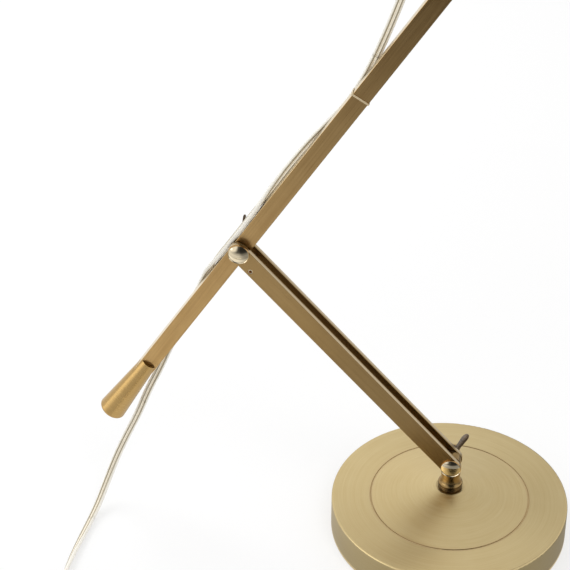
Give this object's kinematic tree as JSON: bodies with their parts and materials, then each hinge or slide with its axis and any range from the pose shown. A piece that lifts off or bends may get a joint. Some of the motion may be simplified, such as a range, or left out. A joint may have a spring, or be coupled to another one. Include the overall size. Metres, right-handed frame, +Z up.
{
  "type": "adjustable desk lamp",
  "caption": "Adjustable brass desk lamp with a weighted round base, jointed flat arms, a counterweighted upper arm, a tilting shade and a clear twin lead",
  "frame": {"origin": "centre of the felt underside of the base, where the swivel's axis meets the desk", "axes": "+Z up along the swivel; the arms lie in the XZ plane, the lower arm leans to -X and the shade looks to +X; -Y is the front, +Y the side of the wing nuts"},
  "size_m": [0.5026, 0.3377, 0.6402],
  "materials": {
    "brass_base": "spun, lacquered",
    "brass_bars": "brushed, toned",
    "brass_turned": "polished",
    "brass_fitting": "satin",
    "shade_metal": "brass-coloured lacquer",
    "dark_steel": "bronzed",
    "steel": "zinc plated",
    "iron": "painted",
    "felt": "felt",
    "friction_disc": "fibre",
    "flex": "clear flexible plastic",
    "plug_plastic": "moulded",
    "tie_plastic": "clear nylon",
    "insulator": "moulded phenolic",
    "contact_brass": "bright",
    "bulb_glass": "pearl"
  },
  "bodies": {
    "base": {"base_cover": "brass_base", "ballast": "iron", "felt_pad": "felt", "post_collar": "dark_steel"},
    "post": {"swivel_post": "brass_turned", "swivel_washer": "steel", "swivel_spring": "steel", "swivel_nut": "steel", "cord_floor_run": "flex", "cord_coil": "flex", "cord_tail": "flex", "plug_relief": "plug_plastic", "plug_body": "plug_plastic", "plug_pins": "contact_brass"},
    "lower_arm": {"front_bar": "brass_bars", "rear_bar": "brass_bars", "stop_pin": "dark_steel", "lower_pivot_bolt": "steel", "lower_pivot_cap": "brass_turned", "lower_pivot_friction_washers": "friction_disc", "lower_pivot_flat_washer": "dark_steel", "elbow_bolt": "steel", "elbow_cap": "brass_turned", "elbow_friction_washers": "friction_disc", "elbow_flat_washer": "dark_steel", "cord_drop_foot": "flex"},
    "lower_wing_nut": {"lower_pivot_wing_nut": "dark_steel"},
    "elbow_wing_nut": {"elbow_wing_nut": "dark_steel"},
    "upper_arm": {"upper_bar": "brass_bars", "counterweight": "brass_turned", "counterweight_screw": "dark_steel", "cable_tie": "tie_plastic", "cord_head_loop": "flex", "cord_arm_run": "flex", "cord_drop_top": "flex"},
    "head": {"head_fork": "brass_fitting", "head_pivot_bolt": "steel", "head_pivot_cap": "brass_turned", "head_pivot_friction_washers": "friction_disc", "head_pivot_flat_washer": "dark_steel", "holder_nipple": "steel", "nipple_nut": "steel", "lampholder_cup": "brass_fitting", "cord_gland": "insulator", "lampholder": "insulator", "centre_contact": "contact_brass", "screw_shell": "contact_brass", "shade": "shade_metal", "shade_ring": "insulator", "bulb_cap": "contact_brass", "bulb_glass": "bulb_glass"},
    "head_wing_nut": {"head_pivot_wing_nut": "dark_steel"},
    "switch_knob": {"switch_knob": "insulator"}
  },
  "joints": [
    {"name": "swivel", "type": "hinge", "parent": "base", "child": "post", "pos_m": [0, 0, 0.042], "axis": [0, 0, 1], "range_deg": [-170, 170]},
    {"name": "lower_tilt", "type": "hinge", "parent": "post", "child": "lower_arm", "pos_m": [0, 0, 0.067], "axis": [0, 1, 0], "range_deg": [-12, 40], "deforming": ["cord_drop_foot"]},
    {"name": "elbow", "type": "hinge", "parent": "lower_arm", "child": "upper_arm", "pos_m": [-0.168, 0, 0.2565], "axis": [0, 1, 0], "range_deg": [-30, 45], "deforming": ["cord_drop_top"]},
    {"name": "head_tilt", "type": "hinge", "parent": "upper_arm", "child": "head", "pos_m": [0.05767, 0, 0.61072], "axis": [0, 1, 0], "range_deg": [-75, 30], "deforming": ["cord_head_loop"]},
    {"name": "lower_wing_nut_turn", "type": "hinge", "parent": "lower_arm", "child": "lower_wing_nut", "pos_m": [0, 0, 0.067], "axis": [0, 1, 0], "continuous": true},
    {"name": "elbow_wing_nut_turn", "type": "hinge", "parent": "lower_arm", "child": "elbow_wing_nut", "pos_m": [-0.168, 0, 0.2565], "axis": [0, 1, 0], "continuous": true},
    {"name": "head_wing_nut_turn", "type": "hinge", "parent": "head", "child": "head_wing_nut", "pos_m": [0.05767, 0, 0.61072], "axis": [0, 1, 0], "continuous": true},
    {"name": "switch_turn", "type": "hinge", "parent": "head", "child": "switch_knob", "pos_m": [0.08907, -0.02, 0.58437], "axis": [0, 1, 0], "continuous": true}
  ]
}
